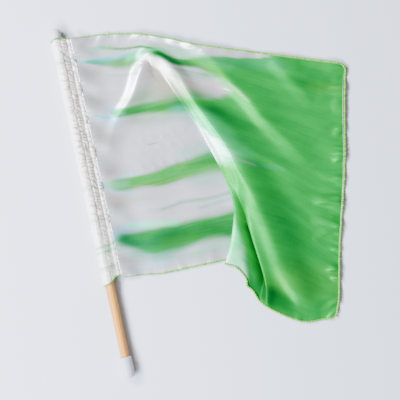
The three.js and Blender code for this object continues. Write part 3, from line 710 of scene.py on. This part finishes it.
# The gathers' valleys are painted tan: painted shade, warmed by the pole's colour through the thin silk.
SLEEVE_SILK, VALLEY_SHADE_TINT, VALLEY_SHADE_STRENGTH = "#f8efe7", "#b8926f", 0.9
SLEEVE_DYES = [  # dye, strength, y and half width of each faint mark across the sleeve
    ("pale", 0.4, 341, 4), ("teal", 0.3, 205, 4), ("leaf", 0.55, 141, 2), ("mint", 0.7, 135.5, 2),
    ("leaf", 0.5, 119, 1.5), ("olive", 0.3, 116, 1.5), ("pale", 0.3, 170, 4),
]
sleeve_points, valley, sleeve_way = sleeve_surface()
x, y = sleeve_points[..., 0], sleeve_points[..., 1]
# Painted shade: tan laid in the gathers' valleys, stronger where they lie deeper.
show = (VALLEY_SHADE_STRENGTH * np.clip(valley, 0, 1))[..., None]
sleeve_tint_and_shade = np.array(linear(SLEEVE_SILK)[:3]) * (1 - show) + np.array(linear(VALLEY_SHADE_TINT)[:3]) * show
for dye_name, strength, at_y, half in SLEEVE_DYES:
    cover = (strength * bell(y - at_y - 0.1 * x, half))[..., None]
    sleeve_tint_and_shade = sleeve_tint_and_shade * (1 - cover) + np.array(linear(DYES_AND_PAINTED_LIGHT[dye_name])[:3]) * cover
gathered_silk = habotai("gathered_habotai_silk", 0.08, 0.25)
sleeve = new_piece("silk_sleeve", sleeve_points.reshape(-1, 3), grid_faces(*x.shape), gathered_silk)
paint(sleeve, "dye", sleeve_tint_and_shade)
cloth_map(sleeve, np.broadcast_to(sleeve_way, y.shape), y)
body = sleeve.modifiers.new("thickness", "SOLIDIFY")
body.thickness, body.offset = SILK_THICKNESS * MM, 0
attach(sleeve, "root")

# The hem: the silk's edge rolled over twice and bound with lime overlock thread, whose turns lie side by
# side round the roll. Each turn is painted lighter on its swell and darker in the grooves between turns,
# as painted highlight and shade. Its fibres are too fine to show, so they are drawn 0.4 mm apart.
HEM_RADIUS = 1.0
TURN_PITCH = 3.0
FIBRE_SIZE = 0.4
thread, tree, output = new_material("lime_overlock_thread")
twist_and_shade = add_node(tree, "ShaderNodeAttribute", {"attribute_name": "twist_and_shade"})
fibre = add_node(tree, "ShaderNodeTexNoise", {"Scale": 1 / (FIBRE_SIZE * MM), "Detail": 3.0},
                 {"Vector": add_node(tree, "ShaderNodeTexCoord").outputs["Object"]})
thread_bump = add_node(tree, "ShaderNodeBump", {"Strength": 0.35, "Distance": 0.0002},
                       {"Height": fibre.outputs["Fac"]})
thread_shader = add_node(tree, "ShaderNodeBsdfPrincipled",
                         {"Roughness": 0.5, "Specular IOR Level": 0.4, "Sheen Weight": 0.3},
                         {"Base Color": twist_and_shade.outputs["Color"], "Normal": thread_bump.outputs["Normal"]})
tree.links.new(thread_shader.outputs[0], output.inputs[0])


def tube_along(path, radius, sides, ripple, pitch):
    """A round tube along a path: at each point a circle in the plane across the path, swelled by a ripple
    that winds round it once for each pitch. Returns the points and the ripple's phase."""
    tangent = np.gradient(path, axis=0)
    tangent /= np.linalg.norm(tangent, axis=1, keepdims=True)
    side = np.cross(tangent, [0, 0, 1.0])
    side /= np.maximum(np.linalg.norm(side, axis=1, keepdims=True), 1e-9)
    over = np.cross(side, tangent)
    way = np.concatenate([[0], np.cumsum(np.linalg.norm(np.diff(path, axis=0), axis=1))])
    angle = np.arange(sides) / sides * 2 * np.pi
    phase = 0.5 + 0.5 * np.cos(2 * np.pi * way[:, None] / pitch + angle[None, :])
    reach = (np.asarray(radius)[..., None] * np.ones_like(phase)) + ripple * phase
    ring = side[:, None] * np.cos(angle)[None, :, None] + over[:, None] * np.sin(angle)[None, :, None]
    return path[:, None] + ring * reach[..., None], phase


def resampled(path, step):
    """The same path with points an even step apart along it."""
    way = np.concatenate([[0], np.cumsum(np.linalg.norm(np.diff(path, axis=0), axis=1))])
    places = np.linspace(0, way[-1], max(int(way[-1] / step), 4))
    return np.stack([np.interp(places, way, path[:, k]) for k in range(3)], 1)


def thread_piece(name, path, radius, dark="#2f6f04", light="#74c01e", sides=8, step=0.4, ripple=0.14):
    """A thread-bound roll or a loose thread along a path: a tube, thinner at its ends, whose colour is
    painted from a dark to a light colour by the ripple's phase and soft noise: lighter where each turn
    swells out and darker in the grooves, a painted highlight and shade."""
    path = resampled(np.asarray(path, float), step)
    lengthwise = np.linspace(0, 1, len(path))
    taper = np.minimum(1, 12 * np.minimum(lengthwise + 0.02, 1.02 - lengthwise))
    ring, phase = tube_along(path, radius * taper, sides, ripple, TURN_PITCH)
    uneven = smooth_noise(np.arange(len(path))[:, None] * step / 7, phase, 51)
    share = np.clip(phase ** 0.8 + 0.25 * uneven, 0, 1)[..., None]
    dark, light = np.array(linear(dark)[:3]), np.array(linear(light)[:3])
    ends = [np.arange(sides)[::-1].tolist(), (np.arange(sides) + (len(path) - 1) * sides).tolist()]
    faces = grid_faces(len(path), sides, closed=True) + ends
    piece = new_piece(name, ring.reshape(-1, 3), faces, thread)
    paint(piece, "twist_and_shade", dark * (1 - share) + light * share)
    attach(piece, "root")


# Both hems end a little way in from the seam, and the stitches stop short of the corners.
HEM_LIFT, STITCH_LIFT, STITCH_RADIUS = 0.4, 0.45, 0.22
hem_path = np.concatenate([points[0, 2:], points[1:, -1], points[-1, -2:2:-1]])
hem_path[:, 2] = np.maximum(hem_path[:, 2] + HEM_LIFT, HEM_RADIUS * 0.9)
thread_piece("hem_roll", hem_path, HEM_RADIUS)
stitch_path = points[6:-4, -2] + [0, 0, STITCH_LIFT]
thread_piece("hem_stitching", stitch_path, STITCH_RADIUS, "#4f8a3c", "#d6c2b8", sides=6, ripple=0.1)
LOOSE_THREADS = {  # radius, dark and light colours, and x, y and z along the thread
    "hem_knot": (0.9, "#1c5a0c", "#3f8a1c", [
        (6.6, 103.6, 4.2), (8.4, 105.2, 5.4), (7.2, 107.2, 5.6), (5.6, 105.6, 5.2), (7.6, 103.2, 4.6)]),
    "loose_end_top": (0.35, "#b9c8a8", "#e8ece2", [
        (-5.5, 364.5, 7), (-7, 366.5, 8), (-8.5, 367, 7.6), (-7.4, 368.2, 7)]),
    "loose_end_hem": (0.35, "#b9c8a8", "#e8ece2", [
        (50, 361.2, 1.6), (52.5, 362.8, 2.4), (54.4, 362.4, 2.6), (53.4, 361.2, 2.4)]),
    "loose_end_corner": (0.4, "#b9c8a8", "#e8ece2", [
        (226.5, 16, 1.4), (228.5, 15, 2.2), (230.2, 14.2, 1.8), (229, 16.2, 1.6)]),
    "loose_end_fly": (0.3, "#b9c8a8", "#e8ece2", [
        (247, 89.6, 1.2), (248.8, 88.4, 1.6), (250.4, 88.6, 1), (251.6, 87.4, 0.6)]),
}
for name, (radius, dark, light, path) in LOOSE_THREADS.items():
    thread_piece(name, path, radius, dark, light, sides=6, step=0.3)
SLEEVE_HEM_RADIUS, SLEEVE_HEM_POINTS = 0.8, 50
thread_piece("sleeve_hem_top", sleeve_points[0, :SLEEVE_HEM_POINTS] + [0, 0.3, 0], SLEEVE_HEM_RADIUS)
thread_piece("sleeve_hem_bottom", sleeve_points[-1, :SLEEVE_HEM_POINTS] - [0, 0.3, 0], SLEEVE_HEM_RADIUS)

# The pole: a birch dowel, turned and sanded and left bare, so it is matt. Its grain is straight and fine
# and runs along it; real pores are thinner than a pixel, so they are drawn about a millimetre wide.
PORE_WIDTH, PORE_LENGTH = 1.111, 71.43
BAND_WIDTH, BAND_LENGTH = 8.333, 111.1
birch, tree, output = new_material("sanded_birch_dowel")
where = add_node(tree, "ShaderNodeTexCoord")
pore_scale = (1 / (PORE_WIDTH * MM), 1 / (PORE_LENGTH * MM), 1 / (PORE_WIDTH * MM))
stretch = add_node(tree, "ShaderNodeMapping", {"Scale": pore_scale}, {"Vector": where.outputs["Object"]})
grain = add_node(tree, "ShaderNodeTexNoise", {"Scale": 1.0, "Detail": 5.0, "Roughness": 0.6},
                 {"Vector": stretch.outputs["Vector"]})
band_scale = (1 / (BAND_WIDTH * MM), 1 / (BAND_LENGTH * MM), 1 / (BAND_WIDTH * MM))
shade = add_node(tree, "ShaderNodeMapping", {"Scale": band_scale}, {"Vector": where.outputs["Object"]})
bands = add_node(tree, "ShaderNodeTexNoise", {"Scale": 1.0, "Detail": 2.0},
                 {"Vector": shade.outputs["Vector"]})
tones = add_node(tree, "ShaderNodeValToRGB", links={"Fac": grain.outputs["Fac"]})
tones.color_ramp.elements[0].color, tones.color_ramp.elements[0].position = linear("#bc6c14"), 0.3
tones.color_ramp.elements[1].color, tones.color_ramp.elements[1].position = linear("#eca23c"), 0.62
wood_mix = add_node(tree, "ShaderNodeMix",
                    {"data_type": "RGBA", "blend_type": "MULTIPLY", "Factor": 0.25})
tree.links.new(tones.outputs["Color"], wood_mix.inputs[6])
tree.links.new(bands.outputs["Color"], wood_mix.inputs[7])
wood_bump = add_node(tree, "ShaderNodeBump", {"Strength": 0.15, "Distance": 0.0002},
                     {"Height": grain.outputs["Fac"]})
wood_shader = add_node(tree, "ShaderNodeBsdfPrincipled",
                       {"Roughness": 0.5, "Sheen Weight": 1.0, "Sheen Roughness": 0.3},
                       {"Base Color": wood_mix.outputs[2], "Normal": wood_bump.outputs["Normal"]})
tree.links.new(wood_shader.outputs[0], output.inputs[0])


def turned(name, profile, material, sides=56):
    """A piece turned about the pole's axis: its profile, radius and way up the pole, swept round."""
    profile = np.asarray(profile, float)
    angle = np.arange(sides) / sides * 2 * np.pi
    ring = np.stack([profile[:, :1] * np.cos(angle), np.repeat(profile[:, 1:], sides, 1),
                     AXIS_HEIGHT + profile[:, :1] * np.sin(angle)], -1)
    faces = grid_faces(len(profile), sides, closed=True)
    faces += [np.arange(sides)[::-1].tolist(), (np.arange(sides) + (len(profile) - 1) * sides).tolist()]
    return new_piece(name, ring.reshape(-1, 3), faces, material)


DOWEL_RADIUS, DOWEL_END_RADIUS, DOWEL_CHAMFER = 4.75, 3.9, 0.8
DOWEL_FOOT, DOWEL_TOP = 2.4, POLE_LENGTH - 1.8
dowel = turned("birch_pole", [
    [DOWEL_END_RADIUS, DOWEL_FOOT], [DOWEL_RADIUS, DOWEL_FOOT + DOWEL_CHAMFER], [DOWEL_RADIUS, 60],
    [DOWEL_RADIUS, 120], [DOWEL_RADIUS, 240], [DOWEL_RADIUS, DOWEL_TOP - DOWEL_CHAMFER],
    [DOWEL_END_RADIUS, DOWEL_TOP],
], birch)
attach(dowel, "root")
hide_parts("dowel")

# The caps: white vinyl, dip moulded and pushed on, so their skin is satin and slightly uneven. The foot
# cap is thick, with a flat end and a rounded rim; the top cap is thin, with a domed end.
FOOT_LENGTH, TOP_LENGTH = 22, 11.4
FOOT_RADIUS, FOOT_ROUNDING_RADIUS, FOOT_LIP = 6.5, 2.0, 0.6
TOP_RADIUS, TOP_ROUNDING_RADIUS, TOP_LIP = 5.5, 3.4, 0.3
BORE = DOWEL_RADIUS + 0.05
SKIN_DIMPLES = 3.846
vinyl, tree, output = new_material("white_dip_moulded_vinyl")
skin = add_node(tree, "ShaderNodeTexNoise", {"Scale": 1 / (SKIN_DIMPLES * MM), "Detail": 3.0},
                {"Vector": add_node(tree, "ShaderNodeTexCoord").outputs["Object"]})
skin_tone = add_node(tree, "ShaderNodeMapRange",
                     {"From Min": 0.3, "From Max": 0.7, "To Min": 0.42, "To Max": 0.5},
                     {"Value": skin.outputs["Fac"]})
skin_bump = add_node(tree, "ShaderNodeBump", {"Strength": 0.08, "Distance": 0.0003},
                     {"Height": skin.outputs["Fac"]})
vinyl_shader = add_node(tree, "ShaderNodeBsdfPrincipled",
                        {"Base Color": linear("#bdb9c2"), "Sheen Weight": 0.8, "Subsurface Weight": 0.15,
                         "Subsurface Scale": 0.002},
                        {"Roughness": skin_tone.outputs["Result"], "Normal": skin_bump.outputs["Normal"]})
tree.links.new(vinyl_shader.outputs[0], output.inputs[0])


def rounded_profile(radius, rounding, length, bore, lip):
    """A cap's profile from the middle of its end out round the rim, along its wall to a soft lip, and in
    to the pole."""
    turn = np.linspace(-90, 0, 9) * np.pi / 180
    rim = np.stack([radius - rounding + rounding * np.cos(turn), rounding + rounding * np.sin(turn)], 1)
    wall = [[radius, length * 0.5], [radius, length - lip], [radius - lip * 0.3, length - lip * 0.3],
            [radius - lip, length], [bore, length], [bore, length - 1]]
    return np.concatenate([[[0.05, 0]], rim, wall])


foot_profile = rounded_profile(FOOT_RADIUS, FOOT_ROUNDING_RADIUS, FOOT_LENGTH, BORE, FOOT_LIP)
cap_foot = turned("vinyl_foot_cap", foot_profile, vinyl)
top_profile = rounded_profile(TOP_RADIUS, TOP_ROUNDING_RADIUS, TOP_LENGTH, BORE, TOP_LIP)
top_profile[:, 1] = POLE_LENGTH - top_profile[:, 1]
cap_top = turned("vinyl_top_cap", top_profile[::-1], vinyl)
for cap, node in ((cap_foot, "cap_foot"), (cap_top, "cap_top")):
    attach(cap, "root")
    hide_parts(node)
